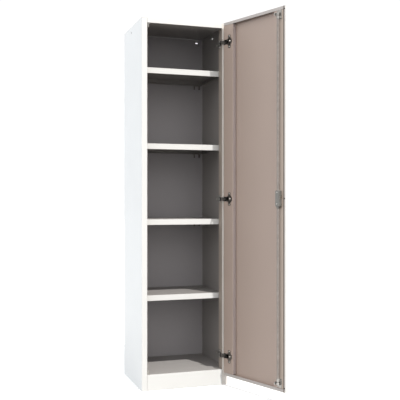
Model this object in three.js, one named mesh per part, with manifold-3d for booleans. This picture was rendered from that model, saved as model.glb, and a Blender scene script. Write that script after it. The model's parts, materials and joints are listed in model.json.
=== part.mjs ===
// A tall one-door steel locker cabinet with four shelves, three concealed hinges and a
// turning-rod lock. Millimetres, +Z up. The origin is on the floor, at the centre of the
// cabinet's footprint; the front faces -Y. The door is modelled at rest, standing open.
import * as THREE from "three";
import { mergeVertices } from "three/addons/utils/BufferGeometryUtils.js";
import Module from "manifold-3d";

const wasm = await Module();
wasm.setup();

// ---------------------------------------------------------------- driving dimensions
const WIDTH = 450;
const DEPTH = 400;
const HEIGHT = 1850;
const SHEET = 1; // steel sheet
const GAP = 0.3; // clearance between separate pieces
const BEND = 1.5; // bend radius at the middle of the sheet

const STILE = 28; // width of the front stiles
const STILE_RETURN = 50; // depth of the stiles' inward return
const STILE_LIP = 12;
const REAR_FLANGE = 20;
const TOP_RAIL = 25;
const TOP_RETURN = 60;
const BASE = 80; // height of the plinth and of the cabinet's floor

const SHELF_PITCH = 384;
const SHELF_COUNT = 4;
const SHELF_EDGE = 28; // height of a shelf's folded front edge
const SHELF_SETBACK = 66; // from the cabinet's front plane to the shelf's front edge

const DOOR_WIDTH = 441;
const DOOR_THICKNESS = 22;
const DOOR_BOTTOM = 52;
const DOOR_TOP = 1848;
const DOOR_FLANGE = 15; // inward flanges at the door's top and bottom
const DOOR_HEM = 10.5; // inward flange at the door's free edge
const HINGE_CHANNEL = 72;
const LOCK_CHANNEL_START = 367; // from the door's hinge-side edge
const LOCK_CHANNEL_END = 428.5;

const DOOR_OPEN = THREE.MathUtils.degToRad(110); // how far the door stands open at rest
const DOOR_REVEAL = 3; // between the closed door and the cabinet's front plane
const DOOR_SIDE_GAP = 3; // from the cabinet's side to the closed door's hinge-side edge
const PIN_INSET = 6.5; // from the door's hinge-side edge to the hinge pin's axis
const PIN_DEPTH = 15; // from the door's inner face to the hinge pin's axis
const HINGE_MIDDLE = 951;
const HINGE_SPREAD = 797; // from the middle hinge to each of the others

const ROD_S = 403; // the locking rod's place across the door, from its hinge-side edge
const ROD_H = 9.7; // the rod's height above the door's inner face
const ROD_R = 6;
const ROD_NECK_R = 2.8; // inside the lock, where the wheel sits
const ROD_ENDS = [83, 1821];
const HOOK_START = 5; // degrees: where the released hook's arm points
const HOOK_SWEEP = 40; // degrees: from the hook's arm to its tip
const HOOK_THROAT = 15.3; // inner radius of the hook's curved finger
const HOOK_REACH = 18.5;
const HOOK_THICK = 12;
const STRIKE_RADIUS = 12;
const STRIKE_ANGLE = 120; // degrees: the strike pin, seen from the rod's axis
const LOCK_BOTTOM = 915;
const LOCK_TOP = 991;
const LOCK_WIDTH = 27;
const LOCK_DEPTH = 17.3;
const BOLT_Z = 957;
const HANDLE_Z = 930;

const FRONT = -DEPTH / 2;
const BACK = DEPTH / 2;
const SIDE = WIDTH / 2;
const PIN_X = SIDE - DOOR_SIDE_GAP - PIN_INSET;
const PIN_Y = FRONT - DOOR_REVEAL - PIN_DEPTH;
const OPENING = SIDE - STILE; // half the width of the front opening
const HINGES = [
  ["top", HINGE_MIDDLE + HINGE_SPREAD],
  ["middle", HINGE_MIDDLE],
  ["bottom", HINGE_MIDDLE - HINGE_SPREAD],
];
const HANDS = [
  ["left", -1],
  ["right", 1],
];
const SHELF_TOPS = Array.from(
  { length: SHELF_COUNT },
  (_, i) => BASE + SHELF_PITCH * (i + 1),
);

// ---------------------------------------------------------------- materials
const paint = (color, roughness) =>
  new THREE.MeshStandardMaterial({ color, roughness, metalness: 0 });
const metal = (color, roughness) =>
  new THREE.MeshStandardMaterial({ color, roughness, metalness: 1 });
const WHITE_PAINT = paint(0xf0f0ec, 0.5);
const GREY_PAINT = paint(0xb5aba2, 0.55);
const ZINC = metal(0xb9b8b2, 0.4);
const NICKEL = metal(0x8d8880, 0.3);
const GREY_CAST = metal(0x8c8981, 0.5);
const RUBBER = paint(0x1d1c1b, 0.8);
const BLACK_PLASTIC = paint(0x232426, 0.4);

// ---------------------------------------------------------------- solids and booleans
function solid(geometry) {
  const bare = geometry.index ? geometry.toNonIndexed() : geometry.clone();
  bare.deleteAttribute("normal");
  bare.deleteAttribute("uv");
  const merged = mergeVertices(bare, 1e-4);
  const mesh = new wasm.Mesh({
    numProp: 3,
    vertProperties: new Float32Array(merged.attributes.position.array),
    triVerts: new Uint32Array(merged.index.array),
  });
  return new wasm.Manifold(mesh);
}

function geometryOf(manifold) {
  const mesh = manifold.getMesh();
  const geometry = new THREE.BufferGeometry();
  const points = new THREE.BufferAttribute(new Float32Array(mesh.vertProperties), 3);
  geometry.setAttribute("position", points);
  geometry.setIndex(Array.from(mesh.triVerts));
  geometry.computeVertexNormals();
  return geometry;
}

const join = (first, ...others) => others.reduce((sum, next) => sum.add(next), first);
const cut = (first, ...others) => others.reduce((rest, next) => rest.subtract(next), first);

function box([x0, x1], [y0, y1], [z0, z1]) {
  const geometry = new THREE.BoxGeometry(x1 - x0, y1 - y0, z1 - z0);
  geometry.translate((x0 + x1) / 2, (y0 + y1) / 2, (z0 + z1) / 2);
  return solid(geometry);
}

// A round bar along an axis ("x", "y" or "z") through a point, between two coordinates.
function bar(axis, [x, y, z], radius, [from, to], endRadius = radius, sides = 24) {
  const geometry = new THREE.CylinderGeometry(endRadius, radius, to - from, sides);
  const middle = (from + to) / 2;
  if (axis === "x") {
    geometry.rotateZ(-Math.PI / 2);
    geometry.translate(middle, y, z);
  } else if (axis === "y") {
    geometry.translate(x, middle, z);
  } else {
    geometry.rotateX(Math.PI / 2);
    geometry.translate(x, y, middle);
  }
  return solid(geometry);
}

// An outline in the XY plane, pulled up between two heights.
function prism(shape, [z0, z1], curveSegments = 12) {
  const options = { depth: z1 - z0, bevelEnabled: false, curveSegments };
  const geometry = new THREE.ExtrudeGeometry(shape, options);
  geometry.translate(0, 0, z0);
  return solid(geometry);
}

// The outline of a sheet folded along a path, with round bends.
function foldedSheet(path, thickness = SHEET, radius = BEND, steps = 3) {
  const points = path.map(([x, y]) => new THREE.Vector2(x, y));
  const normalOf = (d) => new THREE.Vector2(-d.y, d.x);
  const line = [];
  points.forEach((point, i) => {
    const before = i > 0 ? point.clone().sub(points[i - 1]).normalize() : null;
    const after = i < points.length - 1 ? points[i + 1].clone().sub(point).normalize() : null;
    if (!before || !after) {
      line.push({ at: point, normal: normalOf(before || after) });
      return;
    }
    const turn = Math.atan2(before.cross(after), before.dot(after));
    const side = Math.sign(turn);
    const start = point.clone().addScaledVector(before, -radius * Math.tan(Math.abs(turn) / 2));
    const centre = start.clone().addScaledVector(normalOf(before), side * radius);
    for (let k = 0; k <= steps; k++) {
      const normal = normalOf(before).rotateAround(new THREE.Vector2(), (turn * k) / steps);
      line.push({ at: centre.clone().addScaledVector(normal, -side * radius), normal });
    }
  });
  const offset = (sign) =>
    line.map(({ at, normal }) => at.clone().addScaledVector(normal, (sign * thickness) / 2));
  return new THREE.Shape([...offset(1), ...offset(-1).reverse()]);
}

// The outline around two circles on the X axis: a tapered bar with round ends.
function taperedBar(radius, length, endRadius) {
  const lean = Math.acos((radius - endRadius) / length);
  const shape = new THREE.Shape();
  shape.absarc(length, 0, endRadius, -lean, lean, false);
  shape.absarc(0, 0, radius, lean, Math.PI * 2 - lean, false);
  return shape;
}

function roundedOutline(halfWidth, halfHeight, radius) {
  const shape = new THREE.Shape();
  const corners = [
    [halfWidth - radius, halfHeight - radius, 0],
    [-halfWidth + radius, halfHeight - radius, Math.PI / 2],
    [-halfWidth + radius, -halfHeight + radius, Math.PI],
    [halfWidth - radius, -halfHeight + radius, Math.PI * 1.5],
  ];
  for (const [x, y, start] of corners) {
    shape.absarc(x, y, radius, start, start + Math.PI / 2, false);
  }
  return shape;
}

// An outline drawn in the XZ plane, pulled along Y between two places.
function slab(shape, [y0, y1]) {
  return prism(shape, [-y1, -y0], 6).rotate([90, 0, 0]);
}

// The same outline, drawn in towards its middle at the far end.
function chamferedSlab(halfWidth, halfHeight, radius, [y0, y1], chamfer) {
  const full = slab(roundedOutline(halfWidth, halfHeight, radius), [y0, y1 - chamfer]);
  const corner = Math.max(radius - chamfer, 0.5);
  const inset = roundedOutline(halfWidth - chamfer, halfHeight - chamfer, corner);
  return wasm.Manifold.hull([full, slab(inset, [y1 - 0.5, y1])]);
}

const mirrored = (manifold) => manifold.mirror([1, 0, 0]);

// ---------------------------------------------------------------- the scene graph
const cabinet = new THREE.Group();
const door = new THREE.Group();
door.position.set(PIN_X, PIN_Y, 0);
door.rotation.z = DOOR_OPEN;
cabinet.add(door);

function piece(group, name, manifold, material) {
  const mesh = new THREE.Mesh(geometryOf(manifold), material);
  mesh.name = name;
  group.add(mesh);
}

// ---------------------------------------------------------------- cabinet body
const INNER = SIDE - SHEET - GAP; // half the width between the side panels
const REAR_PLANE = BACK - 2 * SHEET - 2 * GAP; // the face that the shelves stop at
const LINK_HOLE = { y: 28, z: 1821, width: 8, height: 10 };
const SPARE_HOLE_Y = FRONT + 66;
const SPARE_HOLE_R = 3.5;
const HANGING_SLOT = { x: 189.5, z: 1829, width: 14, height: 6 };
const FOOT_HOLE = { x: 175, y: FRONT + 61, radius: 4 }; // over a levelling foot
const PLINTH_FLANGE = 20;
const SHELF_END_FLANGE = 13; // inward flanges under a shelf's folded edges
const SHELF_FRONT_FLANGE = 15;
const SHELF_REAR_FLANGE = 11;

const CLIP_X = 190.65; // middle of a rear clip, from the cabinet's middle
const CLIP_LEG_OFFSET = 14.25;
const CLIP_SLOT_DROP = 42; // from a shelf's top to its rear clips' slots
const CLIP_SLOT = { half: 2.5, halfHeight: 4 };
const CLIP_SHEET = 1.5;
const CLIP_LEDGE = 12;
const REAR_CLIP_HALF = 20; // half a rear clip's width
const CLIP_LEG = { half: 4.5, below: 7 };
const CLIP_HOOK = { half: 2, halfHeight: 3, reach: 1.3 };
const FRONT_CLIP = { y: FRONT + 78, length: 24, drop: 18 };

function sidePanel() {
  const middle = SHEET / 2;
  const wall = -SIDE + middle;
  const path = [
    [-SIDE + REAR_FLANGE, BACK - middle],
    [wall, BACK - middle],
    [wall, FRONT + middle],
    [-OPENING - middle, FRONT + middle],
    [-OPENING - middle, FRONT + STILE_RETURN - middle],
    [-OPENING - STILE_LIP, FRONT + STILE_RETURN - middle],
  ];
  const panel = prism(foldedSheet(path), [0, HEIGHT - SHEET - GAP]);
  const through = [-SIDE - 2, -SIDE + SHEET + 2];
  const round = bar("x", [0, 0, 0], LINK_HOLE.width / 2, through);
  const rise = (LINK_HOLE.height - LINK_HOLE.width) / 2;
  const linkHole = join(
    round.translate([0, LINK_HOLE.y, LINK_HOLE.z + rise]),
    round.translate([0, LINK_HOLE.y, LINK_HOLE.z - rise]),
  );
  const spareHoles = HINGES.map(([, z]) => bar("x", [0, SPARE_HOLE_Y, z], SPARE_HOLE_R, through));
  return cut(panel, linkHole, ...spareHoles);
}

function topPanel() {
  const middle = SHEET / 2;
  const lid = box([-SIDE, SIDE], [FRONT, BACK], [HEIGHT - SHEET, HEIGHT]);
  // The rail hangs from the lid's front edge and turns back under it; drawn in the YZ plane.
  const path = [
    [FRONT + middle, HEIGHT - SHEET - 0.1],
    [FRONT + middle, HEIGHT - TOP_RAIL + middle],
    [FRONT + TOP_RETURN, HEIGHT - TOP_RAIL + middle],
  ];
  const half = OPENING - GAP;
  const rail = prism(foldedSheet(path), [-half, half]).rotate([90, 0, 90]);
  const lip = box([-half, half], [FRONT, FRONT + SHEET], [HEIGHT - SHEET - 2, HEIGHT]);
  return join(lid, rail, lip);
}

function backPanel() {
  const front = BACK - 2 * SHEET - GAP;
  const half = INNER - 1; // clear of the side panels' rear bends
  const panel = box([-half, half], [front, front + SHEET], [0, HEIGHT - SHEET - GAP]);
  const across = [front - 1, front + SHEET + 1];
  const round = HANGING_SLOT.height / 2;
  const run = HANGING_SLOT.width / 2 - round;
  const hangingSlot = join(
    box([-run, run], across, [-round, round]),
    bar("y", [-run, 0, 0], round, across),
    bar("y", [run, 0, 0], round, across),
  ).translate([0, 0, HANGING_SLOT.z]);
  const hangingSlots = [-1, 1].map((side) => hangingSlot.translate([side * HANGING_SLOT.x, 0, 0]));
  const clipSlots = [];
  for (const top of SHELF_TOPS) {
    for (const side of [-1, 1]) {
      for (const offset of [-CLIP_LEG_OFFSET, CLIP_LEG_OFFSET]) {
        const x = side * CLIP_X + offset;
        const z = top - CLIP_SLOT_DROP;
        const { half: slotHalf, halfHeight } = CLIP_SLOT;
        const height = [z - halfHeight, z + halfHeight];
        clipSlots.push(box([x - slotHalf, x + slotHalf], across, height));
      }
    }
  }
  return cut(panel, ...hangingSlots, ...clipSlots);
}

function bottomPanel() {
  const rear = REAR_PLANE;
  const front = OPENING - GAP;
  const step = FRONT + STILE_RETURN + GAP;
  const outline = new THREE.Shape();
  outline.moveTo(-front, FRONT);
  outline.lineTo(front, FRONT);
  outline.lineTo(front, step);
  outline.lineTo(INNER, step);
  outline.lineTo(INNER, rear);
  outline.lineTo(-INNER, rear);
  outline.lineTo(-INNER, step);
  outline.lineTo(-front, step);
  const { x, y, radius } = FOOT_HOLE;
  const through = [BASE - SHEET - 1, BASE + 1];
  const footHoles = [-x, x].map((across) => bar("z", [across, y, 0], radius, through));
  return cut(prism(outline, [BASE - SHEET, BASE]), ...footHoles);
}

function plinth() {
  const middle = SHEET / 2;
  const high = BASE - SHEET - GAP - middle;
  const path = [
    [FRONT + PLINTH_FLANGE + 5, middle],
    [FRONT + middle, middle],
    [FRONT + middle, high],
    [FRONT + PLINTH_FLANGE, high],
  ];
  const half = OPENING - GAP;
  return prism(foldedSheet(path), [-half, half]).rotate([90, 0, 90]);
}

// A hat section on the floor, under the middle of the bottom panel.
function baseBrace() {
  const sheet = 1.5;
  const half = 30;
  const flange = 20;
  const middle = sheet / 2;
  const high = BASE - SHEET - GAP - middle;
  const path = [
    [-half - flange, high],
    [-half, high],
    [-half, middle],
    [half, middle],
    [half, high],
    [half + flange, high],
  ];
  const length = [FRONT + PLINTH_FLANGE + 6, REAR_PLANE];
  const profile = prism(foldedSheet(path, sheet, 2), length);
  return profile.rotate([90, 0, 180]).mirror([1, 0, 0]);
}

function shelf(top) {
  const front = FRONT + SHELF_SETBACK;
  const rear = REAR_PLANE;
  const half = INNER - SHEET;
  const low = top - SHELF_EDGE;
  const tray = box([-half, half], [front, rear], [low, top]);
  const hollow = box(
    [-half + SHEET, half - SHEET],
    [front + SHEET, rear - SHEET],
    [low + SHEET, top - SHEET],
  );
  const mouth = box(
    [-half + SHELF_END_FLANGE, half - SHELF_END_FLANGE],
    [front + SHELF_FRONT_FLANGE, rear - SHELF_REAR_FLANGE],
    [low - 1, low + 2],
  );
  return cut(tray, hollow, mouth);
}

// A ledge with two hooked legs, on the back panel's face, under one end of a shelf.
function rearClip(top, side) {
  const wall = REAR_PLANE;
  const high = top - SHELF_EDGE - GAP;
  const centre = side * CLIP_X;
  const depth = [wall - CLIP_LEDGE, wall];
  const ledge = box(
    [centre - REAR_CLIP_HALF, centre + REAR_CLIP_HALF],
    depth,
    [high - CLIP_SHEET, high],
  );
  const legs = [-CLIP_LEG_OFFSET, CLIP_LEG_OFFSET].map((offset) => {
    const x = centre + offset;
    const z = top - CLIP_SLOT_DROP;
    const plate = box(
      [x - CLIP_LEG.half, x + CLIP_LEG.half],
      [wall - CLIP_SHEET, wall],
      [z - CLIP_LEG.below, high - 1],
    );
    const hook = box(
      [x - CLIP_HOOK.half, x + CLIP_HOOK.half],
      [wall - 1, wall + CLIP_HOOK.reach],
      [z - CLIP_HOOK.halfHeight, z + CLIP_HOOK.halfHeight],
    );
    return join(plate, hook);
  });
  return join(ledge, ...legs);
}

// A bent ledge on the side panel, behind the stile, under one front corner of a shelf.
function frontClip(top, side) {
  const wall = INNER;
  const high = top - SHELF_EDGE - GAP;
  const length = [FRONT_CLIP.y, FRONT_CLIP.y + FRONT_CLIP.length];
  const ledge = box([wall - CLIP_LEDGE, wall], length, [high - CLIP_SHEET, high]);
  const plate = box([wall - CLIP_SHEET, wall], length, [high - FRONT_CLIP.drop, high]);
  const clip = join(ledge, plate);
  return side > 0 ? clip : mirrored(clip);
}

// ---------------------------------------------------------------- strikes
const ROD_X = PIN_INSET - ROD_S; // in the door's own frame
const ROD_Y = PIN_DEPTH + ROD_H;
const strikeTurn = THREE.MathUtils.degToRad(STRIKE_ANGLE);
const STRIKE_X = PIN_X + ROD_X + STRIKE_RADIUS * Math.cos(strikeTurn);
const STRIKE_Y = PIN_Y + ROD_Y + STRIKE_RADIUS * Math.sin(strikeTurn);
const STRIKE_PLATE = 2.2;
const STRIKE_PIN_R = 2.5;
const STRIKE_PIN_LENGTH = 18;
const STRIKE_HALF = 7;
const STRIKE_RUN = [STRIKE_Y - 6, STRIKE_Y + 26];
const STRIKE_SCREWS = [STRIKE_Y + 8, STRIKE_Y + 20];
const STRIKE_SCREW_R = 2.3;

// A pin on a small plate, standing up from z = 0; the top one is turned over.
function strike() {
  const plate = box(
    [STRIKE_X - STRIKE_HALF, STRIKE_X + STRIKE_HALF],
    STRIKE_RUN,
    [0, STRIKE_PLATE],
  );
  const pin = bar("z", [STRIKE_X, STRIKE_Y, 0], STRIKE_PIN_R, [1, STRIKE_PIN_LENGTH]);
  const through = [-1, STRIKE_PLATE + 1];
  const holes = STRIKE_SCREWS.map((y) => bar("z", [STRIKE_X, y, 0], STRIKE_SCREW_R, through));
  return cut(join(plate, pin), ...holes);
}

// ---------------------------------------------------------------- hinges
// A hinge is drawn around its pin: x and y are in the closed door's directions, z is 0 at
// the hinge's middle. The arm stays with the cabinet; the cup and the pin go with the door.
const ARM_SHEET = 2.4;
const ARM_HALF = 9; // half the arm's height
const RETURN_FACE = OPENING - PIN_X; // the stile's return, which carries the plate
const STILE_PLANE = FRONT - PIN_Y;
const PLATE_THICK = 3;
const PLATE_FACE = RETURN_FACE - GAP - PLATE_THICK;
const PLATE_RUN = [STILE_PLANE + 12, STILE_PLANE + 49];
const PLATE_WINGS = { thick: 1.5, run: [STILE_PLANE + 24, STILE_PLANE + 40], half: 21 };
const ARM_X = PLATE_FACE - GAP - ARM_SHEET / 2;
const ARM_END = STILE_PLANE + 80;
const ARM_BEND = STILE_PLANE + 9; // where the arm turns in towards its neck
const NECK_BEND = STILE_PLANE - 3;
const NECK_X = -29.4;
const LEG_Y = -2.9;
const KNUCKLE_R = 4.2;
const PIN_R = 2.5;
const BORE_R = PIN_R + GAP;

function hingePlate() {
  const base = box(
    [PLATE_FACE, RETURN_FACE - GAP],
    PLATE_RUN,
    [-ARM_HALF - 0.5, ARM_HALF + 0.5],
  );
  const wings = box(
    [RETURN_FACE - GAP - PLATE_WINGS.thick, RETURN_FACE - GAP],
    PLATE_WINGS.run,
    [-PLATE_WINGS.half, PLATE_WINGS.half],
  );
  return join(base, wings);
}

function hingeArm() {
  const path = [
    [ARM_X, ARM_END],
    [ARM_X, ARM_BEND],
    [NECK_X, NECK_BEND],
    [NECK_X, LEG_Y],
    [0, LEG_Y],
  ];
  const strip = prism(foldedSheet(path, ARM_SHEET, 2.5, 4), [-ARM_HALF, ARM_HALF]);
  const knuckle = bar("z", [0, 0, 0], KNUCKLE_R, [-ARM_HALF, ARM_HALF]);
  const bore = bar("z", [0, 0, 0], BORE_R, [-ARM_HALF - 1, ARM_HALF + 1]);
  return cut(join(strip, knuckle), bore);
}

const FLANGE_THICK = 1.2;
const CUP_S = 45; // centre of the cup's round flange, from the door's edge
const CUP_R = 19.5;
const THROAT_HALF = 12; // half the height of the cup's throat
const THROAT_START = 1.3; // from the door's edge, as are the pocket's ends
const THROAT_END = 30;
const POCKET_HALF = 10.4;
const POCKET_START = 1.9;
const POCKET_END = 39.5;
const TUB_END = POCKET_END + 1.5;
const TUB_FLOOR = 0.8;
const DOORWAY_DEPTH = 6; // the notch in the pocket's mouth that the arm's leg folds into
const WING_HALF = 8.5; // half the width of the cup's two wings
const WING_END = 33.5; // from the cup's middle to each wing's end
const WING_CORNER = 4;
const CUP_BOSS = { s: CUP_S + 3, radius: 6, endRadius: 3.6, height: 4.5 };

// The cup: a flange on the door's inner face, around a pocket that the arm folds into.
function hingeCup() {
  const x = (s) => PIN_INSET - s;
  const face = PIN_DEPTH + GAP;
  const flangeTop = face + FLANGE_THICK;
  const deep = PIN_DEPTH - DOOR_THICKNESS + SHEET + GAP;
  const disc = bar("y", [x(CUP_S), 0, 0], CUP_R, [face, flangeTop], CUP_R, 40);
  const throatHeight = [-THROAT_HALF, THROAT_HALF];
  const throat = box([x(THROAT_END), x(THROAT_START)], [face, flangeTop], throatHeight);
  const outline = roundedOutline(WING_HALF, WING_END, WING_CORNER);
  const wings = slab(outline, [face, flangeTop]).translate([x(CUP_S), 0, 0]);
  const tub = box([x(TUB_END), x(THROAT_START)], [deep, face + 0.5], throatHeight);
  const pocketHeight = [-POCKET_HALF, POCKET_HALF];
  const above = flangeTop + 1;
  const pocket = box([x(POCKET_END), x(POCKET_START)], [deep + TUB_FLOOR, above], pocketHeight);
  const doorway = box([x(POCKET_END), x(0)], [PIN_DEPTH - DOORWAY_DEPTH, above], pocketHeight);
  const pinHole = bar("z", [0, 0, 0], BORE_R, [-THROAT_HALF - 1, THROAT_HALF + 1]);
  const bossRun = [flangeTop - 0.2, flangeTop + CUP_BOSS.height];
  const boss = bar("y", [x(CUP_BOSS.s), 0, 0], CUP_BOSS.radius, bossRun, CUP_BOSS.endRadius);
  return join(cut(join(disc, throat, wings, tub), pocket, doorway, pinHole), boss);
}

const hingePin = () => bar("z", [0, 0, 0], PIN_R, [-THROAT_HALF, THROAT_HALF]);

// The cut that a cup needs in the sheet behind its flange.
function cupCut(z) {
  return box(
    [PIN_INSET - TUB_END - GAP, PIN_INSET],
    [PIN_DEPTH - 2, PIN_DEPTH + 1],
    [z - THROAT_HALF - GAP, z + THROAT_HALF + GAP],
  );
}

// ---------------------------------------------------------------- door
// In the door's frame x(s) is s from the hinge-side edge, y(h) is h above the inner face.
const doorX = (s) => PIN_INSET - s;
const doorY = (h) => PIN_DEPTH + h;
const CHANNEL_BOTTOM = DOOR_BOTTOM + DOOR_FLANGE + 1;
const CHANNEL_TOP = DOOR_TOP - DOOR_FLANGE - 1;
const SPINDLE_HOLE_R = 5.5;

function doorSkin() {
  const outer = box(
    [doorX(DOOR_WIDTH), doorX(0)],
    [doorY(-DOOR_THICKNESS), doorY(0)],
    [DOOR_BOTTOM, DOOR_TOP],
  );
  const hollow = box(
    [doorX(DOOR_WIDTH - SHEET), doorX(SHEET)],
    [doorY(-DOOR_THICKNESS + SHEET), doorY(-SHEET)],
    [DOOR_BOTTOM + SHEET, DOOR_TOP - SHEET],
  );
  const mouth = box(
    [doorX(DOOR_WIDTH - DOOR_HEM), doorX(SHEET)],
    [doorY(-3), doorY(1)],
    [DOOR_BOTTOM + DOOR_FLANGE, DOOR_TOP - DOOR_FLANGE],
  );
  const spindleHole = bar(
    "y",
    [ROD_X, 0, HANDLE_Z],
    SPINDLE_HOLE_R,
    [doorY(-DOOR_THICKNESS - 1), doorY(-DOOR_THICKNESS + 3)],
  );
  return cut(outer, hollow, mouth, spindleHole);
}

function hingeSideChannel() {
  const face = -SHEET / 2;
  const floor = -DOOR_THICKNESS + SHEET + GAP + SHEET / 2;
  const inside = HINGE_CHANNEL - SHEET / 2;
  const path = [
    [doorX(SHEET + GAP), doorY(face)],
    [doorX(inside), doorY(face)],
    [doorX(inside), doorY(floor)],
    [doorX(inside - 14), doorY(floor)],
  ];
  const channel = prism(foldedSheet(path), [CHANNEL_BOTTOM, CHANNEL_TOP]);
  return cut(channel, ...HINGES.map(([, z]) => cupCut(z)));
}

function lockSideChannel() {
  const face = -SHEET / 2;
  const floor = -DOOR_THICKNESS + SHEET + GAP + SHEET / 2;
  const near = LOCK_CHANNEL_START + SHEET / 2;
  const far = LOCK_CHANNEL_END - SHEET / 2;
  const path = [
    [doorX(near + 14), doorY(floor)],
    [doorX(near), doorY(floor)],
    [doorX(near), doorY(face)],
    [doorX(far), doorY(face)],
    [doorX(far), doorY(floor)],
    [doorX(far - 14), doorY(floor)],
  ];
  const channel = prism(foldedSheet(path), [CHANNEL_BOTTOM, CHANNEL_TOP]);
  const hole = bar("y", [ROD_X, 0, HANDLE_Z], SPINDLE_HOLE_R, [doorY(-3), doorY(2)]);
  return cut(channel, hole);
}

// Rubber stops on the hem: the closed door rests on them.
const BUFFERS = [
  ["top", 1834],
  ["middle", 953],
  ["bottom", 73],
];
const BUFFER_S = 435.2;
const BUFFER_R = 3.4;

function doorBuffer(z) {
  const height = [doorY(GAP), doorY(DOOR_REVEAL - GAP)];
  return bar("y", [doorX(BUFFER_S), 0, z], BUFFER_R, height, BUFFER_R - 0.8, 20);
}

// ---------------------------------------------------------------- lock
const LOCK_WALL = 1.2;
const LOCK_CORNER = 6;
const LOCK_CHAMFER = 3;
const LOCK_END_WALL = LOCK_WALL + LOCK_CHAMFER;
const COLLAR_R = 7.8; // the sleeve around the rod under the lock's case
const COLLAR_LENGTH = 8;
const BOLT_HALF = 7; // half the dead bolt's height
const BOLT_NOSE = [6.5, 12.8]; // the nose's underside and top above the door's inner face
const BOLT_TAIL = 0.7; // the tail's underside
const BOLT_OUT = 0.6; // how far the drawn-back nose stands out of the case
const BOLT_BACK = 10; // from the case's side to the nose's rear, beside the rod's neck
const BOLT_STEP = 2;
const BOLT_END = 24;
const BOLT_WINDOW_TOP = 13.2;
const HUB_WALL = 1.9; // around the rod, in the hooks and the guides

function lockCase() {
  const middle = (LOCK_TOP + LOCK_BOTTOM) / 2;
  const halfHeight = (LOCK_TOP - LOCK_BOTTOM) / 2;
  const half = LOCK_WIDTH / 2;
  const depth = [doorY(GAP), doorY(LOCK_DEPTH)];
  const shell = chamferedSlab(half, halfHeight, LOCK_CORNER, depth, LOCK_CHAMFER);
  const hollow = slab(
    roundedOutline(half - LOCK_WALL, halfHeight - LOCK_END_WALL, LOCK_CORNER - LOCK_WALL),
    [doorY(-1), doorY(LOCK_DEPTH - LOCK_WALL)],
  );
  const place = (m) => m.translate([ROD_X, 0, middle]);
  const sleeve = [LOCK_BOTTOM - COLLAR_LENGTH, LOCK_BOTTOM + LOCK_END_WALL];
  const collar = bar("z", [ROD_X, ROD_Y, 0], COLLAR_R, sleeve);
  const rodHole = bar("z", [ROD_X, ROD_Y, 0], ROD_R + 0.4, [sleeve[0] - 1, LOCK_TOP + 1]);
  const boltWindow = box(
    [ROD_X - half - 1, ROD_X - half + 3],
    [doorY(-1), doorY(BOLT_WINDOW_TOP)],
    [BOLT_Z - BOLT_HALF - GAP, BOLT_Z + BOLT_HALF + GAP],
  );
  return cut(join(place(shell), collar), place(hollow), rodHole, boltWindow);
}

// The dead bolt: a nose in the case's side, and a tail that passes behind the rod.
function deadBolt() {
  const height = [BOLT_Z - BOLT_HALF, BOLT_Z + BOLT_HALF];
  const outside = ROD_X - LOCK_WIDTH / 2;
  const tailTop = ROD_H - ROD_R - 0.6;
  const depth = [doorY(BOLT_NOSE[0]), doorY(BOLT_NOSE[1])];
  const back = outside + BOLT_BACK;
  const nose = box([outside - BOLT_OUT, back], depth, height);
  const step = box([back - BOLT_STEP, back], [doorY(BOLT_TAIL), depth[0] + 0.5], height);
  const tail = box(
    [back - BOLT_STEP, outside + BOLT_END],
    [doorY(BOLT_TAIL), doorY(tailTop)],
    height,
  );
  return join(nose, step, tail);
}

// A saddle round the rod, on a foot with a screw hole in each ear. The foot is thin enough to
// run on under the hook; up says which way it runs.
const GUIDE_LENGTH = 14;
const GUIDE_FOOT = { half: 15, thick: 1.2, run: 42 };
const GUIDE_SCREW = { out: 11.2, radius: 1.6 }; // holes beside the saddle

function rodGuide(start, up) {
  const reach = up > 0 ? [start, start + GUIDE_LENGTH] : [start - GUIDE_LENGTH, start];
  const run = up > 0 ? [start, start + GUIDE_FOOT.run] : [start - GUIDE_FOOT.run, start];
  const outer = ROD_R + HUB_WALL;
  const saddle = join(
    box([ROD_X - outer, ROD_X + outer], [doorY(GAP), ROD_Y], reach),
    bar("z", [ROD_X, ROD_Y, 0], outer, reach),
  );
  const foot = box(
    [ROD_X - GUIDE_FOOT.half, ROD_X + GUIDE_FOOT.half],
    [doorY(GAP), doorY(GAP + GUIDE_FOOT.thick)],
    run,
  );
  const bore = bar("z", [ROD_X, ROD_Y, 0], ROD_R + 0.4, [reach[0] - 1, reach[1] + 1]);
  const screwZ = (reach[0] + reach[1]) / 2;
  const screwHoles = [-1, 1].map((side) =>
    bar(
      "y",
      [ROD_X + side * GUIDE_SCREW.out, 0, screwZ],
      GUIDE_SCREW.radius,
      [doorY(GAP - 1), doorY(GAP + GUIDE_FOOT.thick + 1)],
    ),
  );
  return cut(join(saddle, foot), bore, ...screwHoles);
}

const GUIDES = [
  ["rod_guide_top", 1790, 1],
  ["rod_guide_bottom", 114, -1],
];

const HOOK_ARM = { half: 2.2, short: 1.2 }; // short of the finger's outer face
const HOOKS = [
  ["top_hook", 1807],
  ["bottom_hook", 85],
];

// The hook: an arm from the rod and a curved finger that closes behind the strike's pin.
function hook(bottom) {
  const start = THREE.MathUtils.degToRad(HOOK_START);
  const end = THREE.MathUtils.degToRad(HOOK_START + HOOK_SWEEP);
  const reach = [bottom, bottom + HOOK_THICK];
  const finger = new THREE.Shape();
  finger.absarc(0, 0, HOOK_REACH, start, end, false);
  finger.absarc(0, 0, HOOK_THROAT, end, start, true);
  const arm = box([0, HOOK_REACH - HOOK_ARM.short], [-HOOK_ARM.half, HOOK_ARM.half], reach);
  const hub = bar("z", [0, 0, 0], ROD_R + HUB_WALL, reach);
  const bore = bar("z", [0, 0, 0], ROD_R + GAP, [bottom - 1, reach[1] + 1]);
  const whole = join(prism(finger, reach), arm.rotate([0, 0, HOOK_START]), hub);
  return cut(whole, bore).translate([ROD_X, ROD_Y, 0]);
}

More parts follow.
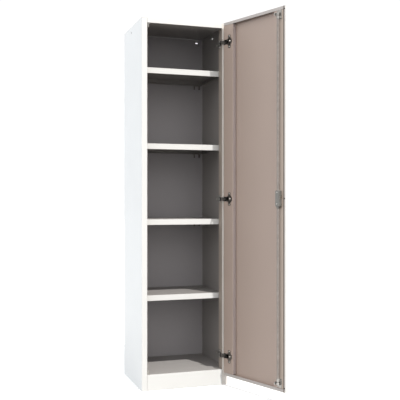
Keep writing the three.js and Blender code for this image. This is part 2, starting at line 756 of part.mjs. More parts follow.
function lockingRod() {
  const inside = [LOCK_BOTTOM + LOCK_END_WALL + 1, LOCK_TOP - LOCK_END_WALL - 1];
  const at = [ROD_X, ROD_Y, 0];
  return join(
    bar("z", at, ROD_R, [ROD_ENDS[0], inside[0]]),
    bar("z", at, ROD_NECK_R, [inside[0] - 1, inside[1] + 1]),
    bar("z", at, ROD_R, [inside[1], ROD_ENDS[1]]),
  );
}

// Two bevelled wheels turn the handle's quarter turn into the rod's.
const WHEEL_R = 5.2;
const WHEEL_LENGTH = 3;
const WHEEL_BEVEL = 1;
const WHEEL_FACE = 0.4; // the spindle wheel's underside above the door's inner face

function rodWheel() {
  const z = HANDLE_Z + WHEEL_R;
  const bevel = [z - WHEEL_BEVEL + 0.2, z + 0.2];
  const cone = bar("z", [ROD_X, ROD_Y, 0], WHEEL_R - WHEEL_BEVEL, bevel, WHEEL_R);
  const disc = bar("z", [ROD_X, ROD_Y, 0], WHEEL_R, [z + 0.1, z + WHEEL_LENGTH]);
  const bore = bar("z", [ROD_X, ROD_Y, 0], ROD_NECK_R + GAP, [z - 2, z + WHEEL_LENGTH + 1]);
  return cut(join(cone, disc), bore);
}

function spindleWheel() {
  const height = [doorY(WHEEL_FACE), doorY(WHEEL_FACE + WHEEL_LENGTH)];
  return bar("y", [ROD_X, 0, HANDLE_Z], WHEEL_R, height, WHEEL_R - 1.6);
}

const SPINDLE_HALF = 3.5;

function handleSpindle() {
  return box(
    [ROD_X - SPINDLE_HALF, ROD_X + SPINDLE_HALF],
    [doorY(-DOOR_THICKNESS - 3.3), doorY(0.1)],
    [HANDLE_Z - SPINDLE_HALF, HANDLE_Z + SPINDLE_HALF],
  );
}

const OUTER_FACE = -DOOR_THICKNESS;
const ESCUTCHEON = { thick: 3, half: 14, halfHeight: 50, corner: 13, rise: 8 };

function escutcheon() {
  const { thick, half, halfHeight, corner, rise } = ESCUTCHEON;
  const depth = [doorY(OUTER_FACE - GAP - thick), doorY(OUTER_FACE - GAP)];
  const outline = roundedOutline(half, halfHeight, corner);
  const plate = slab(outline, depth).translate([ROD_X, 0, HANDLE_Z + rise]);
  const hole = bar("y", [ROD_X, 0, HANDLE_Z], SPINDLE_HOLE_R, [depth[0] - 1, depth[1] + 1]);
  return cut(plate, hole);
}

const HANDLE_BACK = OUTER_FACE - ESCUTCHEON.thick - 2 * GAP;
const HANDLE_FRONT = HANDLE_BACK - 17;
const COLLAR_DEPTH = 8;
const LEVER = { radius: 12.5, length: 66, endRadius: 6.5 };
const PLUG_R = 7;
const PLUG_DEPTH = 9;
const KEYWAY = { half: 0.9, halfHeight: 4, depth: 5 };

// A lever that lies across the door when the lock is released.
function handle() {
  const at = [ROD_X, 0, HANDLE_Z];
  const collar = bar("y", at, 10, [doorY(HANDLE_BACK - COLLAR_DEPTH), doorY(HANDLE_BACK)], 11);
  const shape = taperedBar(LEVER.radius, LEVER.length, LEVER.endRadius);
  const lever = slab(shape, [doorY(HANDLE_FRONT), doorY(HANDLE_BACK - COLLAR_DEPTH + 1)]);
  const depth = [doorY(HANDLE_FRONT - 1), doorY(HANDLE_FRONT + PLUG_DEPTH)];
  const bore = bar("y", at, PLUG_R + GAP, depth);
  return cut(join(collar, lever.translate(at)), bore);
}

function keyPlug() {
  const face = doorY(HANDLE_FRONT - 0.5);
  const depth = [face, doorY(HANDLE_FRONT + PLUG_DEPTH - GAP)];
  const plug = bar("y", [ROD_X, 0, HANDLE_Z], PLUG_R, depth);
  const keyway = box(
    [ROD_X - KEYWAY.half, ROD_X + KEYWAY.half],
    [face - 1, face + KEYWAY.depth],
    [HANDLE_Z - KEYWAY.halfHeight, HANDLE_Z + KEYWAY.halfHeight],
  );
  return cut(plug, keyway);
}

// The keeper: the slot in the left stile's return that the dead bolt enters.
const KEEPER_SLACK = 1;
const SHUT_FACE = FRONT - DOOR_REVEAL; // the shut door's inner face
const KEEPER_SLOT = box(
  [-OPENING - 3, -OPENING + 1],
  [SHUT_FACE + BOLT_NOSE[0] - KEEPER_SLACK, SHUT_FACE + BOLT_NOSE[1] + KEEPER_SLACK],
  [BOLT_Z - BOLT_HALF - KEEPER_SLACK, BOLT_Z + BOLT_HALF + KEEPER_SLACK],
);

// ---------------------------------------------------------------- assembly
piece(cabinet, "left_side_panel", cut(sidePanel(), KEEPER_SLOT), WHITE_PAINT);
piece(cabinet, "right_side_panel", mirrored(sidePanel()), WHITE_PAINT);
piece(cabinet, "top_panel", topPanel(), WHITE_PAINT);
piece(cabinet, "back_panel", backPanel(), GREY_PAINT);
piece(cabinet, "bottom_panel", bottomPanel(), WHITE_PAINT);
piece(cabinet, "plinth", plinth(), WHITE_PAINT);
piece(cabinet, "base_brace", baseBrace(), ZINC);
SHELF_TOPS.forEach((top, i) => {
  piece(cabinet, `shelf_${i + 1}`, shelf(top), WHITE_PAINT);
});
for (const [i, top] of SHELF_TOPS.entries()) {
  for (const [hand, side] of HANDS) {
    piece(cabinet, `rear_clip_${hand}_${i + 1}`, rearClip(top, side), NICKEL);
    piece(cabinet, `front_clip_${hand}_${i + 1}`, frontClip(top, side), ZINC);
  }
}

const bottomStrike = strike().translate([0, 0, BASE + GAP]);
const topStrike = strike().mirror([0, 0, 1]).translate([0, 0, HEIGHT - TOP_RAIL - GAP]);
piece(cabinet, "top_strike", topStrike, ZINC);
piece(cabinet, "bottom_strike", bottomStrike, ZINC);

for (const [where, z] of HINGES) {
  const atPin = [PIN_X, PIN_Y, z];
  piece(cabinet, `hinge_plate_${where}`, hingePlate().translate(atPin), NICKEL);
  piece(cabinet, `hinge_arm_${where}`, hingeArm().translate(atPin), NICKEL);
  piece(door, `hinge_cup_${where}`, hingeCup().translate([0, 0, z]), NICKEL);
  piece(door, `hinge_pin_${where}`, hingePin().translate([0, 0, z]), ZINC);
}

piece(door, "door_skin", doorSkin(), GREY_PAINT);
piece(door, "hinge_side_channel", hingeSideChannel(), GREY_PAINT);
piece(door, "lock_side_channel", lockSideChannel(), GREY_PAINT);
for (const [where, z] of BUFFERS) {
  piece(door, `door_buffer_${where}`, doorBuffer(z), RUBBER);
}
piece(door, "lock_case", lockCase(), GREY_CAST);
for (const [name, start, up] of GUIDES) {
  piece(door, name, rodGuide(start, up), ZINC);
}
piece(door, "escutcheon", escutcheon(), BLACK_PLASTIC);
piece(door, "dead_bolt", deadBolt(), ZINC);
piece(door, "locking_rod", lockingRod(), ZINC);
for (const [name, bottom] of HOOKS) {
  piece(door, name, hook(bottom), ZINC);
}
piece(door, "rod_bevel_wheel", rodWheel(), ZINC);
piece(door, "spindle_bevel_wheel", spindleWheel(), ZINC);
piece(door, "handle_spindle", handleSpindle(), ZINC);
piece(door, "handle", handle(), BLACK_PLASTIC);
piece(door, "key_plug", keyPlug(), NICKEL);

export default cabinet;
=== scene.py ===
"""A tall white steel locker cabinet with its door open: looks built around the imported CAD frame."""

import json
import math

import bmesh
import bpy
from mathutils import Matrix, Vector


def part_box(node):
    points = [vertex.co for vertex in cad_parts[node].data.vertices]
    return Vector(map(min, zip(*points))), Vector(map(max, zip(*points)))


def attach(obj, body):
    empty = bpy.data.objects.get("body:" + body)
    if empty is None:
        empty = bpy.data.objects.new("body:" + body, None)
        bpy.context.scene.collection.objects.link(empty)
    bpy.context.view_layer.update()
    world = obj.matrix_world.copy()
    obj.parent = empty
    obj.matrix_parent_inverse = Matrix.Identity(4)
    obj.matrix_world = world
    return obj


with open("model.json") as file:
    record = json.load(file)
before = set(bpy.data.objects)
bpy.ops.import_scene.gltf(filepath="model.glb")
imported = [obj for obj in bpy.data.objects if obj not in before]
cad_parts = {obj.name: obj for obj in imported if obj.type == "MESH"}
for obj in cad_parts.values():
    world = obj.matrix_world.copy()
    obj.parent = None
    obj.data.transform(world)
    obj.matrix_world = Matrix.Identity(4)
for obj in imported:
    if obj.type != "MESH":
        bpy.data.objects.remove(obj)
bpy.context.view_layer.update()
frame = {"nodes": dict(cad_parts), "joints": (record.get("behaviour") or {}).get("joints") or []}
NODES = frame["nodes"]
MM = 0.001

# ------------------------------------------------------------------ places taken from the frame
JOINTS = {joint["name"]: joint for joint in frame["joints"]}
HINGE_AXIS = Vector(JOINTS["door_hinge"]["pos_m"])
DOOR_IN = Vector(JOINTS["handle_turn"]["axis"]).normalized()  # out of the door's inner face
DOOR_TURN = math.atan2(DOOR_IN.y, DOOR_IN.x) - math.pi / 2
DOOR_ORIGIN = Vector((HINGE_AXIS.x, HINGE_AXIS.y, 0))
TO_DOOR = Matrix.Translation(DOOR_ORIGIN) @ Matrix.Rotation(DOOR_TURN, 4, "Z")
FROM_ROW = TO_DOOR.inverted()  # takes a point of the row frame to the shut door's directions
HEIGHTS = ("top", "middle", "bottom")


def middle(box):
    return (box[0] + box[1]) / 2


def door_box(node):
    """A door node's lowest and highest corners in the shut door's directions, from its hinge axis."""
    points = [FROM_ROW @ vertex.co for vertex in NODES[node].data.vertices]
    low = Vector([min(point[axis] for point in points) for axis in range(3)])
    high = Vector([max(point[axis] for point in points) for axis in range(3)])
    return low, high


def door_point(x, y, z):
    return TO_DOOR @ Vector((x, y, z))


SKIN_LOW, SKIN_HIGH = door_box("door_skin")
LEFT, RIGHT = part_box("left_side_panel"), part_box("right_side_panel")
FRONT = LEFT[0].y  # the plane of the cabinet's front
SHEET = 1 * MM
STILE = 28 * MM  # width of the front stiles
STILE_RETURN = 50 * MM  # depth of the stiles' inward returns
OUT = 3  # metres, past the ends of the cabinet in every direction


# ------------------------------------------------------------------ node helpers
class Shader:
    """A material's node tree, with short calls for the nodes that the finishes share."""

    def __init__(self, name):
        self.material = bpy.data.materials.new(name)
        self.material.use_nodes = True
        self.tree = self.material.node_tree
        self.bsdf = self.tree.nodes["Principled BSDF"]
        self.place = self.tree.nodes.new("ShaderNodeTexCoord").outputs["Object"]

    def link(self, source, target):
        self.tree.links.new(source, target)

    def feed(self, socket, value):
        if isinstance(value, bpy.types.NodeSocket):
            self.link(value, socket)
        else:
            socket.default_value = value

    def set(self, **values):
        for label, value in values.items():
            self.bsdf.inputs[label.replace("_", " ")].default_value = value

    def noise(self, scale, detail=3, stretch=(1, 1, 1)):
        mapping = self.tree.nodes.new("ShaderNodeMapping")
        mapping.inputs["Scale"].default_value = stretch
        self.link(self.place, mapping.inputs["Vector"])
        node = self.tree.nodes.new("ShaderNodeTexNoise")
        node.inputs["Scale"].default_value = scale
        node.inputs["Detail"].default_value = detail
        self.link(mapping.outputs["Vector"], node.inputs["Vector"])
        return node.outputs["Fac"]

    def ramp(self, fac, low, high, start=0.0, end=1.0):
        node = self.tree.nodes.new("ShaderNodeMapRange")
        node.inputs["From Min"].default_value = start
        node.inputs["From Max"].default_value = end
        node.inputs["To Min"].default_value = low
        node.inputs["To Max"].default_value = high
        self.link(fac, node.inputs["Value"])
        return node.outputs["Result"]

    def math(self, operation, first, second):
        node = self.tree.nodes.new("ShaderNodeMath")
        node.operation = operation
        self.feed(node.inputs[0], first)
        self.feed(node.inputs[1], second)
        return node.outputs[0]

    def mix(self, fac, first, second):
        node = self.tree.nodes.new("ShaderNodeMix")
        node.data_type = "RGBA"
        self.link(fac, node.inputs["Factor"])
        for socket, value in ((node.inputs[6], first), (node.inputs[7], second)):
            self.feed(socket, (*value, 1) if isinstance(value, tuple) else value)
        return node.outputs[2]

    def scaled(self, color, factor):
        node = self.tree.nodes.new("ShaderNodeVectorMath")
        node.operation = "SCALE"
        self.feed(node.inputs[0], color)
        self.link(factor, node.inputs["Scale"])
        return node.outputs["Vector"]

    def door_place(self):
        """Object coordinates turned into the shut door's directions."""
        node = self.tree.nodes.new("ShaderNodeMapping")
        node.vector_type = "TEXTURE"
        node.inputs["Location"].default_value = DOOR_ORIGIN
        node.inputs["Rotation"].default_value = (0, 0, DOOR_TURN)
        self.link(self.place, node.inputs["Vector"])
        return node.outputs["Vector"]

    def within(self, low, high, place):
        """1 inside a box, 0 outside it."""
        split = self.tree.nodes.new("ShaderNodeSeparateXYZ")
        self.link(place, split.inputs["Vector"])
        mask = 1.0
        for axis in range(3):
            mask = self.math("MULTIPLY", self.math("GREATER_THAN", split.outputs[axis], low[axis]), mask)
            mask = self.math("MULTIPLY", self.math("LESS_THAN", split.outputs[axis], high[axis]), mask)
        return mask

    def edges(self, radius):
        """1 along outside edges within radius metres, 0 elsewhere."""
        bevel = self.tree.nodes.new("ShaderNodeBevel")
        bevel.samples = 4
        bevel.inputs["Radius"].default_value = radius
        flat = self.tree.nodes.new("ShaderNodeNewGeometry").outputs["Normal"]
        dot = self.tree.nodes.new("ShaderNodeVectorMath")
        dot.operation = "DOT_PRODUCT"
        self.link(bevel.outputs["Normal"], dot.inputs[0])
        self.link(flat, dot.inputs[1])
        return self.ramp(dot.outputs["Value"], 1, 0, 0.75, 0.98)

    def bump(self, height, distance, strength=1.0, before=None):
        node = self.tree.nodes.new("ShaderNodeBump")
        node.inputs["Strength"].default_value = strength
        node.inputs["Distance"].default_value = distance
        self.link(height, node.inputs["Height"])
        if before is not None:
            self.link(before, node.inputs["Normal"])
        return node.outputs["Normal"]

    def finish(self, color, roughness, normal):
        self.link(color, self.bsdf.inputs["Base Color"])
        self.link(roughness, self.bsdf.inputs["Roughness"])
        self.link(normal, self.bsdf.inputs["Normal"])
        return self.material


# ------------------------------------------------------------------ materials
# Linear colours. Some are painted light and shade: warm bounce and shade from the open door on the hinge
# stile and the stile returns, shade on the door's folds, light on the recess walls and beside the rod,
# shade along the hem's joint and on the hinge arm's link.
WHITE = (0.80, 0.80, 0.785)
# painted warm bounce and shade from the open door, on the hinge stile's white
WHITE_PAINTED_WARM_BOUNCE = (0.83, 0.79, 0.745)
GREY = (0.32, 0.305, 0.297)
SHELF_GREY = (0.28, 0.265, 0.256)
BACK_GREY = (0.40, 0.385, 0.40)
# painted shade with warm bounce from the door, on the stile returns
STILE_PAINTED_SHADE = (0.44, 0.378, 0.328)
TAUPE = (0.475, 0.372, 0.315)
# painted shade on the white skin's folds
FOLD_PAINTED_SHADE = (0.53, 0.485, 0.455)
# painted light caught by the walls of the door's recess
RECESS_WALL_PAINTED_LIGHT = (0.54, 0.47, 0.46)
# painted light on the strip beyond the rod
ROD_STRIP_PAINTED_LIGHT = (0.52, 0.426, 0.353)
# painted shade along the hem's joint
JOINT_PAINTED_SHADE = (0.25, 0.207, 0.175)
DULL = (0.36, 0.35, 0.335)
# painted shade on the hinge arm's link in the doorway
ARM_PAINTED_SHADE = (0.08, 0.075, 0.07)


def powder_coat(name, zones, gloss=0.45):
    """Baked powder paint on steel sheet: orange peel, faint waviness, rubbed edges, light dust.

    zones is a colour, or a function of the shader that gives one colour per zone of the sheet."""
    s = Shader(name)
    s.set(Specular_IOR_Level=0.35)
    peel = s.noise(520, 2)
    fine = s.noise(1900, 2)
    cloud = s.noise(2.6, 4)
    wave = s.noise(5, 1)
    rubbed = s.math("MULTIPLY", s.edges(0.8 * MM), s.ramp(s.noise(60, 4), 0, 1, 0.35, 0.75))
    factor = s.ramp(cloud, 0.975, 1.02, 0.3, 0.7)
    factor = s.math("MULTIPLY", factor, s.ramp(fine, 1.0, 0.96, 0.45, 0.8))
    factor = s.math("MULTIPLY", factor, s.ramp(rubbed, 1.0, 0.93))
    rough = s.math("ADD", s.ramp(peel, -0.05, 0.05), s.ramp(cloud, gloss - 0.05, gloss + 0.06))
    rough = s.math("SUBTRACT", rough, s.ramp(rubbed, 0, 0.12))
    normal = s.bump(wave, 0.35 * MM, 0.5)
    normal = s.bump(peel, 0.05 * MM, 0.55, normal)
    normal = s.bump(fine, 0.012 * MM, 0.5, normal)
    return s.finish(s.scaled(zones(s) if callable(zones) else zones, factor), rough, normal)


def carcass_zones(s):
    """White outside, warmer on the hinge stile as painted warm bounce and shade from the open door, grey
    within, taupe grey on the stile returns as painted shade from the door.
    """
    skin = 0.6 * SHEET
    low = Vector((LEFT[0].x + skin, FRONT + skin, -OUT))
    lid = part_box("top_panel")[1].z
    high = Vector((RIGHT[1].x - skin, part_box("back_panel")[1].y - skin, lid - skin))
    slack = SHEET / 2
    front = s.within(low, (OUT, FRONT + STILE_RETURN + slack, OUT), s.place)
    opening = STILE + slack
    between = s.within((LEFT[0].x + opening, -OUT, -OUT), (RIGHT[1].x - opening, OUT, OUT), s.place)
    # the stile returns get painted shade
    inner = s.mix(s.math("SUBTRACT", front, between), GREY, STILE_PAINTED_SHADE)
    hinge_stile = s.within((RIGHT[0].x, -OUT, -OUT), (RIGHT[1].x - skin, low.y, OUT), s.place)
    # the hinge stile's front gets painted warm bounce and shade
    outer = s.mix(hinge_stile, WHITE, WHITE_PAINTED_WARM_BOUNCE)
    return s.mix(s.within(low, high, s.place), outer, inner)


def shelf_zones(s):
    """White on a shelf's folded front edge, grey behind it."""
    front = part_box("shelf_1")[0].y + 0.6 * SHEET
    return s.mix(s.within((-OUT, front, -OUT), (OUT, OUT, OUT), s.place), WHITE, SHELF_GREY)


def joint_shade_zone(s, place):
    """1 beside the joint between the lock-side channel and the door's hem, where painted shade goes."""
    joint = door_box("lock_side_channel")[0].x
    low = (joint - 4.5 * MM, SKIN_HIGH.y - 2 * SHEET, -OUT)
    return s.within(low, (joint + 1.5 * MM, OUT, OUT), place)


def skin_zones(s):
    """White on the door's outside, taupe inside, paler on the folds around the inner face as painted
    shade on the white skin's paint, darker along the hem's joint as painted shade.
    """
    place = s.door_place()
    skin = Vector((1, 1, 1)) * 0.55 * SHEET
    low, high = SKIN_LOW + skin, SKIN_HIGH - skin
    high.y = SKIN_HIGH.y + SHEET
    inner = s.within(low, high, place)
    fold = s.within((low.x, SKIN_HIGH.y - 2 * SHEET, low.z), high, place)
    # the folds get the white skin's paint in painted shade
    paint = s.mix(fold, s.mix(inner, WHITE, TAUPE), FOLD_PAINTED_SHADE)
    # painted shade along the hem's joint
    return s.mix(joint_shade_zone(s, place), paint, JOINT_PAINTED_SHADE)


def channel_zones(s):
    """Taupe on the channels' faces, paler beyond the rod as painted light, cooler and paler on the walls
    in the door's recess as painted light, darker along the hem's joint as painted shade.
    """
    place = s.door_place()
    face = SKIN_HIGH.y - 1.2 * SHEET
    walls = s.within((-OUT, -OUT, -OUT), (OUT, face, OUT), place)
    rod = middle(door_box("locking_rod"))
    beyond = s.within((-OUT, face, -OUT), (rod.x, OUT, OUT), place)
    # the recess walls and the strip beyond the rod get painted light
    paint = s.mix(beyond, s.mix(walls, TAUPE, RECESS_WALL_PAINTED_LIGHT), ROD_STRIP_PAINTED_LIGHT)
    # painted shade along the hem's joint
    return s.mix(joint_shade_zone(s, place), paint, JOINT_PAINTED_SHADE)


def plated(name, zones, roughness, brushed=(1, 1, 1), metallic=1.0):
    """Plated or bare metal: fine brushing, stains, bright rubbed edges."""
    s = Shader(name)
    s.set(Metallic=metallic)
    grain = s.noise(700, 3, brushed)
    stain = s.noise(40, 4)
    factor = s.math("ADD", s.ramp(stain, 0.84, 1.08, 0.35, 0.7), s.ramp(s.edges(0.4 * MM), 0, 0.3))
    rough = s.math("ADD", s.ramp(grain, -0.07, 0.09), s.ramp(stain, roughness - 0.05, roughness + 0.1))
    return s.finish(s.scaled(zones(s) if callable(zones) else zones, factor), rough,
                    s.bump(grain, 0.02 * MM, 0.5))


def arm_zones(s):
    """Painted shade: the link in the doorway painted dark, zinc behind the stile's front."""
    link = s.within((-OUT, -OUT, -OUT), (OUT, FRONT + 6 * MM, OUT), s.place)
    return s.mix(link, DULL, ARM_PAINTED_SHADE)


def casting(name, color):
    """Lacquered die casting: pebbled skin, worn edges."""
    s = Shader(name)
    s.set(Metallic=0.3, Specular_IOR_Level=0.5)
    pebble = s.noise(900, 2)
    cloud = s.noise(50, 3)
    factor = s.math("ADD", s.ramp(cloud, 0.9, 1.06, 0.35, 0.7), s.ramp(s.edges(0.6 * MM), 0, 0.35))
    rough = s.math("ADD", s.ramp(pebble, -0.05, 0.05), s.ramp(cloud, 0.28, 0.38))
    return s.finish(s.scaled(color, factor), rough, s.bump(pebble, 0.05 * MM, 0.5))


def plastic(name, color, roughness, grain=1100):
    """Moulded plastic or rubber with a fine spark-eroded texture."""
    s = Shader(name)
    s.set(Specular_IOR_Level=0.45)
    spark = s.noise(grain, 3)
    cloud = s.noise(30, 3)
    factor = s.math("ADD", s.ramp(cloud, 0.85, 1.15, 0.3, 0.7), s.ramp(s.edges(0.5 * MM), 0, 0.5))
    rough = s.math("ADD", s.ramp(spark, -0.08, 0.08), s.ramp(cloud, roughness - 0.04, roughness + 0.05))
    return s.finish(s.scaled(color, factor), rough, s.bump(spark, 0.04 * MM, 0.6))


# the carcass, door skin and channel paints carry painted light and shade in some zones
CARCASS = powder_coat("white_grey_paint_and_painted_shade", carcass_zones, 0.5)
BACK = powder_coat("grey_paint", BACK_GREY, 0.5)
SHELF = powder_coat("shelf_paint", shelf_zones, 0.5)
SKIN = powder_coat("white_taupe_skin_and_painted_shade", skin_zones, 0.48)
CHANNEL = powder_coat("taupe_paint_and_painted_light", channel_zones, 0.48)
ZINC = plated("zinc_plate", (0.62, 0.61, 0.58), 0.34)
DULL_ZINC = plated("dull_zinc_plate", DULL, 0.45)
# the hinge arm's link in the doorway carries painted shade
ARM = plated("hinge_arm_zinc_and_painted_shade", arm_zones, 0.4)
ROD_STEEL = plated("drawn_rod", (0.29, 0.262, 0.242), 0.55, (1, 1, 0.03), 0.4)
NICKEL = plated("dark_nickel", (0.23, 0.215, 0.20), 0.26)
CASTING = casting("grey_casting", (0.20, 0.195, 0.182))
RUBBER = plastic("black_rubber", (0.022, 0.021, 0.02), 0.75)
BLACK = plastic("black_plastic", (0.03, 0.03, 0.032), 0.42)
WHITE_PLASTIC = plastic("white_plastic", (0.76, 0.76, 0.74), 0.45)

# ------------------------------------------------------------------ CAD nodes keep their shape
# Each start of a name has its material and the radius of its rounded edges, in millimetres.
FINISHES = {
    "left_side_panel": (CARCASS, 0.3), "right_side_panel": (CARCASS, 0.3), "top_panel": (CARCASS, 0.3),
    "bottom_panel": (CARCASS, 0.3), "plinth": (CARCASS, 0.3), "back_panel": (BACK, 0.3),
    "base_brace": (ZINC, 0.3), "shelf_": (SHELF, 0.45), "rear_clip": (NICKEL, 0.3),
    "front_clip": (ZINC, 0.3), "top_strike": (ZINC, 0.4), "bottom_strike": (ZINC, 0.4),
    "hinge_plate": (DULL_ZINC, 0.4), "hinge_arm": (ARM, 0.4), "hinge_cup": (NICKEL, 0.35),
    "hinge_pin": (ZINC, 0.4), "door_skin": (SKIN, 0.45), "hinge_side_channel": (CHANNEL, 0.3),
    "lock_side_channel": (CHANNEL, 0.3), "door_buffer": (RUBBER, 0.5), "lock_case": (CASTING, 0.6),
    "rod_guide": (DULL_ZINC, 0.3), "escutcheon": (BLACK, 1.0), "dead_bolt": (ZINC, 0.5),
    "locking_rod": (ROD_STEEL, 0.6), "top_hook": (DULL_ZINC, 0.5), "bottom_hook": (DULL_ZINC, 0.5),
    "rod_bevel_wheel": (ZINC, 0.2), "spindle_bevel_wheel": (ZINC, 0.2), "handle_spindle": (ZINC, 0.3),
    "handle": (BLACK, 1.6), "key_plug": (NICKEL, 0.3),
}


def finish_of(name):
    return FINISHES[max((start for start in FINISHES if name.startswith(start)), key=len)]


def soften(piece, width, segments=3):
    """Small rounds on every sharp edge, with smooth shading between them."""
    weld = piece.modifiers.new("weld", "WELD")
    weld.merge_threshold = 1e-6
    bevel = piece.modifiers.new("round", "BEVEL")
    bevel.width = width
    bevel.segments = segments
    bevel.limit_method = "ANGLE"
    bevel.angle_limit = math.radians(40)
    flat = piece.modifiers.new("flat", "WEIGHTED_NORMAL")
    flat.mode = "FACE_AREA"
    flat.weight = 100
    for polygon in piece.data.polygons:
        polygon.use_smooth = True


for name, node in NODES.items():
    material, radius = finish_of(name)
    node.data.materials.clear()
    node.data.materials.append(material)
    soften(node, radius * MM)
NODES["locking_rod"].visible_shadow = False  # the rod leaves no dark line on the channel


# ------------------------------------------------------------------ fasteners and plugs
def mesh_from(build, name):
    mesh = bmesh.new()
    build(mesh)
    bmesh.ops.recalc_face_normals(mesh, faces=mesh.faces)
    data = bpy.data.meshes.new(name)
    mesh.to_mesh(data)
    mesh.free()
    for polygon in data.polygons:
        polygon.use_smooth = True
    return data


def add_object(name, data):
    piece = bpy.data.objects.new(name, data)
    bpy.context.scene.collection.objects.link(piece)
    return piece


def turned(profile, name, steps=32):
    """A mesh turned about Z from (radius, height) points, the first and the last on the axis."""
    def build(mesh):
        rings = []
        for radius, height in profile:
            count = steps if radius > 0 else 1
            turns = [math.tau * step / steps for step in range(count)]
            points = [(radius * math.cos(a), radius * math.sin(a), height) for a in turns]
            rings.append([mesh.verts.new(point) for point in points])
        for lower, upper in zip(rings, rings[1:]):
            for step in range(steps):
                after = (step + 1) % steps
                corners = [lower[step % len(lower)], lower[after % len(lower)],
                           upper[after % len(upper)], upper[step % len(upper)]]
                mesh.faces.new(list(dict.fromkeys(corners)))
    return mesh_from(build, name)


def cross_cutter(size, depth):
    """A tapering cross, for the recess of a cross-head screw."""
    def build(mesh):
        for turn in (0, math.pi / 2):
            matrix = Matrix.Rotation(turn, 4, "Z") @ Matrix.Diagonal((size, size * 0.3, 2 * depth, 1))
            for vertex in bmesh.ops.create_cube(mesh, size=1, matrix=matrix)["verts"]:
                if vertex.co.z < 0:
                    vertex.co.x *= 0.45
                    vertex.co.y *= 0.45
    return mesh_from(build, "cross")


def screw_mesh(radius):
    """A pan-head screw with a cross recess: the head stands on z = 0, the shank goes below."""
    height = radius * 0.55
    shank = radius * 0.42
    turns = [math.radians(15 * step) for step in range(6)]
    crown = [(radius * math.cos(t), height * (0.35 + 0.65 * math.sin(t))) for t in turns]
    profile = [(0, -1.2 * radius), (shank, -radius), (shank, 0), (radius, 0), *crown, (0, height)]
    head = add_object("screw_blank", turned(profile, "screw"))
    cutter = add_object("screw_cutter", cross_cutter(radius * 1.1, height * 0.75))
    cutter.location.z = height
    recess = head.modifiers.new("recess", "BOOLEAN")
    recess.operation = "DIFFERENCE"
    recess.object = cutter
    recess.solver = "EXACT"
    recess.use_self = True
    bpy.context.view_layer.update()
    made = bpy.data.meshes.new_from_object(head.evaluated_get(bpy.context.evaluated_depsgraph_get()))
    bpy.data.objects.remove(head)
    bpy.data.objects.remove(cutter)
    return made


SCREW_MESHES = {}


def screw(name, place, facing, radius, body, turn=20):
    """A screw whose head lies on the surface at place and faces out of it; radius in millimetres."""
    if radius not in SCREW_MESHES:
        SCREW_MESHES[radius] = screw_mesh(radius * MM)
    piece = add_object(name, SCREW_MESHES[radius].copy())
    piece.data.materials.append(ZINC)
    aim = Vector(facing).to_track_quat("Z", "Y").to_matrix().to_4x4()
    piece.matrix_world = Matrix.Translation(place) @ aim @ Matrix.Rotation(math.radians(turn), 4, "Z")
    soften(piece, 0.07 * MM, 2)
    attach(piece, body)


# Millimetres. The hinge screws' places are from a hinge's pin, in the cabinet's directions for
# those on the plate and the arm, and in the shut door's for those on the cup.
PLATE_SCREW = Vector((-20.3, 50, 15.5))
ARM_SCREWS = {"front": Vector((-24.5, 46, 0)), "rear": Vector((-24.5, 80, 0))}
CUP_SCREW_X, CUP_SCREW_Z = -38.5, 27
RAISED = 1.5  # a foot's or a cup's flange above the door's inner face
LOCK_SCREWS = {"lower": 928, "upper": 982}
GUIDE_SCREWS = {"top": 1797, "bottom": 107}
GUIDE_EAR = 11.2  # from the rod to a guide's screws
STRIKE_PLATE = 2.2
STRIKE_SCREWS = {"front": 14, "rear": 26}  # from the plate's front end
SPARE_HOLE_Y = 66  # from the cabinet's front


def upper_lower(side):
    return "upper" if side > 0 else "lower"


def hinge_screws():
    for where in HEIGHTS:
        z = middle(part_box(f"hinge_plate_{where}")).z
        hinge = Vector((HINGE_AXIS.x, HINGE_AXIS.y, z))
        for side in (-1, 1):
            label = upper_lower(side)
            place = hinge + Vector((PLATE_SCREW.x, PLATE_SCREW.y, side * PLATE_SCREW.z)) * MM
            screw(f"plate_screw_{where}_{label}", place, (-1, 0, 0), 3.4, "cabinet", 35 * side)
            height = z + side * CUP_SCREW_Z * MM
            place = door_point(CUP_SCREW_X * MM, SKIN_HIGH.y + RAISED * MM, height)
            screw(f"cup_screw_{where}_{label}", place, DOOR_IN, 3.4, "door", 15 * side)
        for label, offset in ARM_SCREWS.items():
            place = hinge + offset * MM
            screw(f"arm_screw_{label}_{where}", place, (-1, 0, 0), 3.2, "cabinet", offset.y)


def lock_screws():
    case = door_box("lock_case")
    rod = middle(door_box("locking_rod"))
    for label, z in LOCK_SCREWS.items():
        place = door_point(rod.x, case[1].y, z * MM)
        screw(f"lock_screw_{label}", place, DOOR_IN, 2.8, "door", z)
    for where, z in GUIDE_SCREWS.items():
        for label, side in (("left", -1), ("right", 1)):
            across = rod.x + side * GUIDE_EAR * MM
            place = door_point(across, SKIN_HIGH.y + RAISED * MM, z * MM)
            screw(f"guide_screw_{where}_{label}", place, DOOR_IN, 2.4, "door", 25 * side)


def strike_screws():
    for name, up in (("top_strike", -1), ("bottom_strike", 1)):
        low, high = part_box(name)
        face = low.z + STRIKE_PLATE * MM if up > 0 else high.z - STRIKE_PLATE * MM
        for label, back in STRIKE_SCREWS.items():
            place = ((low.x + high.x) / 2, low.y + back * MM, face)
            screw(f"{name}_screw_{label}", place, (0, 0, up), 3.6, "cabinet", back * 3)


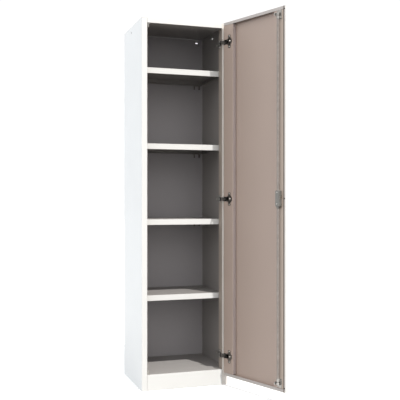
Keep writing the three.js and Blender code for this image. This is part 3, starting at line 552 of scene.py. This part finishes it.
def blanking_plugs():
    """Snap-in plugs in the spare hinge holes of both sides, flush with the outer face."""
    head, neck, rim = 5.2, 3.3, 3.1
    low, shoulder, top = -2.6, -1.05, -0.1
    profile = [(0, low), (head - 0.8, low), (head, low + 0.4), (head, shoulder)]
    profile += [(neck, shoulder), (neck, top - 0.2), (rim, top), (0, top)]
    data = turned([(radius * MM, height * MM) for radius, height in profile], "plug", 40)
    data.materials.append(WHITE_PLASTIC)
    for hand, box, side in (("left", LEFT, -1), ("right", RIGHT, 1)):
        for where in HEIGHTS:
            z = middle(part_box(f"hinge_plate_{where}")).z
            piece = add_object(f"blanking_plug_{hand}_{where}", data.copy())
            aim = Vector((side, 0, 0)).to_track_quat("Z", "Y").to_matrix().to_4x4()
            place = (box[0].x if side < 0 else box[1].x, FRONT + SPARE_HOLE_Y * MM, z)
            piece.matrix_world = Matrix.Translation(place) @ aim
            soften(piece, 0.1 * MM, 2)
            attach(piece, "cabinet")


hinge_screws()
lock_screws()
strike_screws()
blanking_plugs()

# ------------------------------------------------------------------ stage
FLOOR_BOUNCE = (0.08, 0.08, 0.08)
TO_LIGHT = (0.18, -0.50, 0.85)
SUN = 3.4
SKY = (1.0, 0.99, 0.98, 1)
SKY_STRENGTH = 1.2
BACKDROP_STRENGTH = 1.05  # only the camera sees it
SOFTBOX = Vector((-4.5, 0.9, 1.2))
SOFTBOX_AIM = Vector((0, 0, 1))
CAMERA = Vector((-1.086, -3.6904, 0.946))
CAMERA_TURN = math.radians(-18.44)


def make_floor():
    mesh = bpy.data.meshes.new("floor")
    half = 30
    corners = [(-half, -half, 0), (half, -half, 0), (half, half, 0), (-half, half, 0)]
    mesh.from_pydata(corners, [], [(0, 1, 2, 3)])
    floor = add_object("floor", mesh)
    s = Shader("pale_floor")
    s.set(Roughness=0.9)
    spread = s.tree.nodes.new("ShaderNodeLightPath").outputs["Is Diffuse Ray"]
    s.link(s.mix(spread, (0.97, 0.97, 0.97), FLOOR_BOUNCE), s.bsdf.inputs["Base Color"])
    mesh.materials.append(s.material)


def make_camera():
    camera = bpy.data.cameras.new("camera")
    camera.lens = 65.3
    camera.sensor_width = 36
    camera.clip_end = 100
    view = add_object("camera", camera)
    view.location = CAMERA
    view.rotation_euler = (math.pi / 2, 0, CAMERA_TURN)
    bpy.context.scene.camera = view


def make_lights():
    sun = bpy.data.lights.new("key", "SUN")
    sun.energy = SUN
    sun.angle = math.radians(0.4)
    sun.color = (1.0, 0.98, 0.94)
    add_object("key", sun).rotation_euler = Vector(TO_LIGHT).to_track_quat("Z", "Y").to_euler()

    side = bpy.data.lights.new("side_softbox", "AREA")
    side.shape = "RECTANGLE"
    side.size = 3
    side.size_y = 4
    side.energy = 105
    side.color = (0.727, 0.85, 1.0)
    box = add_object("side_softbox", side)
    box.location = SOFTBOX
    box.visible_glossy = False
    box.rotation_euler = (SOFTBOX - SOFTBOX_AIM).to_track_quat("Z", "Y").to_euler()

    world = bpy.data.worlds.new("studio")
    bpy.context.scene.world = world
    world.use_nodes = True
    tree = world.node_tree
    glow = tree.nodes["Background"]
    glow.inputs["Color"].default_value = SKY
    glow.inputs["Strength"].default_value = SKY_STRENGTH
    backdrop = tree.nodes.new("ShaderNodeBackground")
    backdrop.inputs["Color"].default_value = (1, 1, 1, 1)
    backdrop.inputs["Strength"].default_value = BACKDROP_STRENGTH
    mix = tree.nodes.new("ShaderNodeMixShader")
    seen = tree.nodes.new("ShaderNodeLightPath").outputs["Is Camera Ray"]
    tree.links.new(seen, mix.inputs["Fac"])
    tree.links.new(glow.outputs[0], mix.inputs[1])
    tree.links.new(backdrop.outputs[0], mix.inputs[2])
    tree.links.new(mix.outputs[0], tree.nodes["World Output"].inputs["Surface"])


make_floor()
make_camera()
make_lights()
bpy.context.scene.view_settings.view_transform = "Standard"
